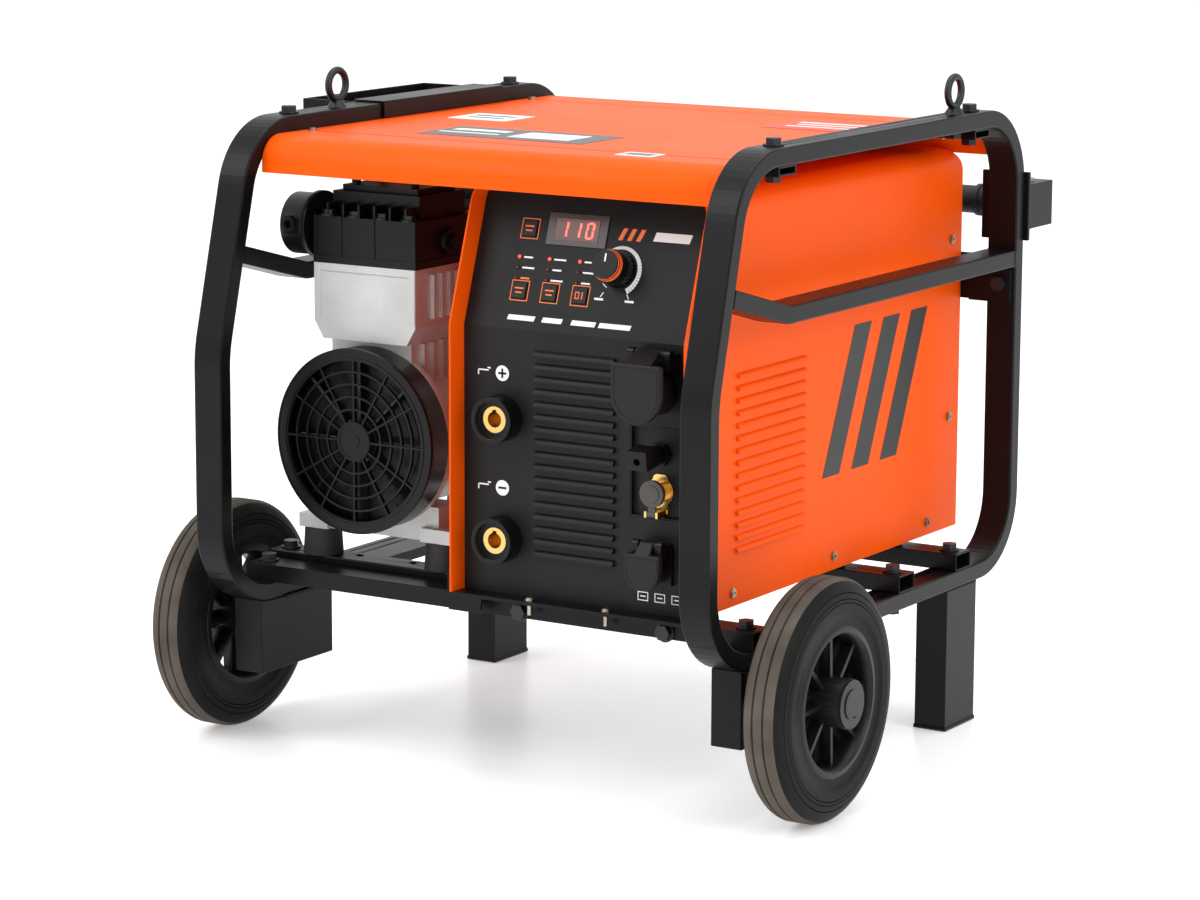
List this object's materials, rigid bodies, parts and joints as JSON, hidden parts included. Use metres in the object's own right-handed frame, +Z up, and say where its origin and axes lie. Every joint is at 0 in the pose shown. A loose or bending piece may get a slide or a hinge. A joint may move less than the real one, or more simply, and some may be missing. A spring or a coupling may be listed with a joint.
{
  "type": "plasma cutter unit",
  "caption": "Wheeled plasma cutter with a built-in air compressor, both in a black tube frame under an orange canopy.",
  "frame": {"origin": "centre of the overall box at floor level", "axes": "+X to the right seen from the front panel, +Y to the rear, +Z up"},
  "size_m": [0.651, 0.606, 0.576],
  "materials": {
    "black_paint": "satin powder coat",
    "orange_paint": "fine textured powder coat",
    "panel_paint": "fine textured powder coat",
    "galvanised": "satin",
    "dark_steel": "blackened",
    "bright_steel": "plated",
    "cast_metal": "sand cast",
    "black_plastic": "matt",
    "grey_plastic": "matt",
    "wheel_plastic": "satin",
    "display_plastic": "gloss",
    "lamp_red": "gloss",
    "brass": "turned",
    "tyre_rubber": "matt",
    "rubber": "matt",
    "grip_rubber": "matt",
    "heat_sink": "extruded"
  },
  "bodies": {
    "frame": {"left_hoop": "black_paint", "right_hoop": "black_paint", "side_bars": "black_paint", "front_rail": "black_paint", "pump_rail": "black_paint", "middle_rail": "black_paint", "rear_rail": "black_paint", "cradle_rail": "black_paint", "centre_rail": "black_paint", "axle_boxes": "black_paint", "rear_legs": "black_paint", "shelf_plate": "black_paint", "rear_brace": "black_paint", "canopy": "orange_paint", "canopy_rails": "black_paint", "tool_tray": "black_paint", "eye_bolts": "dark_steel", "frame_bolts": "dark_steel", "cover_screws": "bright_steel", "handle_brackets": "black_paint", "handle_pins": "bright_steel", "wheel_axles": "dark_steel", "unit_cover": "orange_paint", "unit_base": "galvanised", "front_panel": "panel_paint", "rear_panel": "panel_paint", "socket_plate": "panel_paint", "display": "display_plastic", "indicator_lights": "lamp_red", "output_collars": "black_plastic", "output_contacts": "brass", "pump_socket": "black_plastic", "aux_socket": "black_plastic", "air_fitting": "black_plastic", "torch_connector": "brass", "cable_gland": "black_plastic", "power_module": "heat_sink", "rubber_mounts": "rubber", "pump_body": "cast_metal", "pump_heads": "black_plastic", "intake_filters": "black_plastic", "fan_covers": "black_plastic"},
    "left_wheel": {"left_rim": "wheel_plastic", "left_tyre": "tyre_rubber"},
    "right_wheel": {"right_rim": "wheel_plastic", "right_tyre": "tyre_rubber"},
    "left_handle_arm": {"left_handle": "grip_rubber"},
    "right_handle_arm": {"right_handle": "grip_rubber"},
    "large_lid": {"pump_socket_lid": "grey_plastic"},
    "small_lid": {"aux_socket_lid": "grey_plastic"},
    "cap": {"connector_cap": "rubber"},
    "knob": {"control_knob": "black_plastic"},
    "button_start": {"start_button": "grey_plastic"},
    "button_mode": {"mode_button": "grey_plastic"},
    "button_air": {"air_button": "grey_plastic"},
    "button_trigger": {"trigger_button": "grey_plastic"},
    "mains_switch": {"power_switch": "black_plastic"},
    "fan": {"cooling_fan": "black_plastic"},
    "rotor": {"pump_rotor": "dark_steel"}
  },
  "joints": [
    {"name": "left_wheel_spin", "type": "hinge", "parent": "frame", "child": "left_wheel", "pos_m": [-0.2935, -0.198, 0.1], "axis": [1, 0, 0], "continuous": true},
    {"name": "right_wheel_spin", "type": "hinge", "parent": "frame", "child": "right_wheel", "pos_m": [0.2935, -0.198, 0.1], "axis": [1, 0, 0], "continuous": true},
    {"name": "left_handle_swing", "type": "hinge", "parent": "frame", "child": "left_handle_arm", "pos_m": [-0.235, 0.282, 0.449], "axis": [0, 0, 1], "range_deg": [0, 90]},
    {"name": "right_handle_swing", "type": "hinge", "parent": "frame", "child": "right_handle_arm", "pos_m": [0.235, 0.282, 0.449], "axis": [0, 0, -1], "range_deg": [0, 90]},
    {"name": "large_lid_hinge", "type": "hinge", "parent": "frame", "child": "large_lid", "pos_m": [0.161, -0.243, 0.3755], "axis": [-1, 0, 0], "range_deg": [0, 90], "stiffness_Nm_per_rad": 0.02},
    {"name": "small_lid_hinge", "type": "hinge", "parent": "frame", "child": "small_lid", "pos_m": [0.161, -0.244, 0.2195], "axis": [-1, 0, 0], "range_deg": [0, 90], "stiffness_Nm_per_rad": 0.01},
    {"name": "cap_hinge", "type": "hinge", "parent": "frame", "child": "cap", "pos_m": [0.161, -0.2384, 0.2435], "axis": [1, 0, 0], "range_deg": [0, 90]},
    {"name": "knob_turn", "type": "hinge", "parent": "frame", "child": "knob", "pos_m": [0.112, -0.21142, 0.43517], "axis": [0, -0.9494, 0.314], "range_deg": [-150, 150]},
    {"name": "start_press", "type": "slide", "parent": "frame", "child": "button_start", "axis": [0, 0.9494, -0.314], "range_m": [0, 0.0008], "stiffness_N_per_m": 250},
    {"name": "mode_press", "type": "slide", "parent": "frame", "child": "button_mode", "axis": [0, 0.9494, -0.314], "range_m": [0, 0.0008], "stiffness_N_per_m": 250},
    {"name": "air_press", "type": "slide", "parent": "frame", "child": "button_air", "axis": [0, 0.9494, -0.314], "range_m": [0, 0.0008], "stiffness_N_per_m": 250},
    {"name": "trigger_press", "type": "slide", "parent": "frame", "child": "button_trigger", "axis": [0, 0.9494, -0.314], "range_m": [0, 0.0008], "stiffness_N_per_m": 250},
    {"name": "mains_turn", "type": "hinge", "parent": "frame", "child": "mains_switch", "pos_m": [0.031, 0.2265, 0.421], "axis": [0, 1, 0], "range_deg": [0, 90]},
    {"name": "fan_spin", "type": "hinge", "parent": "frame", "child": "fan", "pos_m": [0.084, 0.22, 0.309], "axis": [0, 1, 0], "continuous": true},
    {"name": "rotor_spin", "type": "hinge", "parent": "frame", "child": "rotor", "pos_m": [-0.1395, -0.077, 0.272], "axis": [0, 1, 0], "continuous": true}
  ]
}
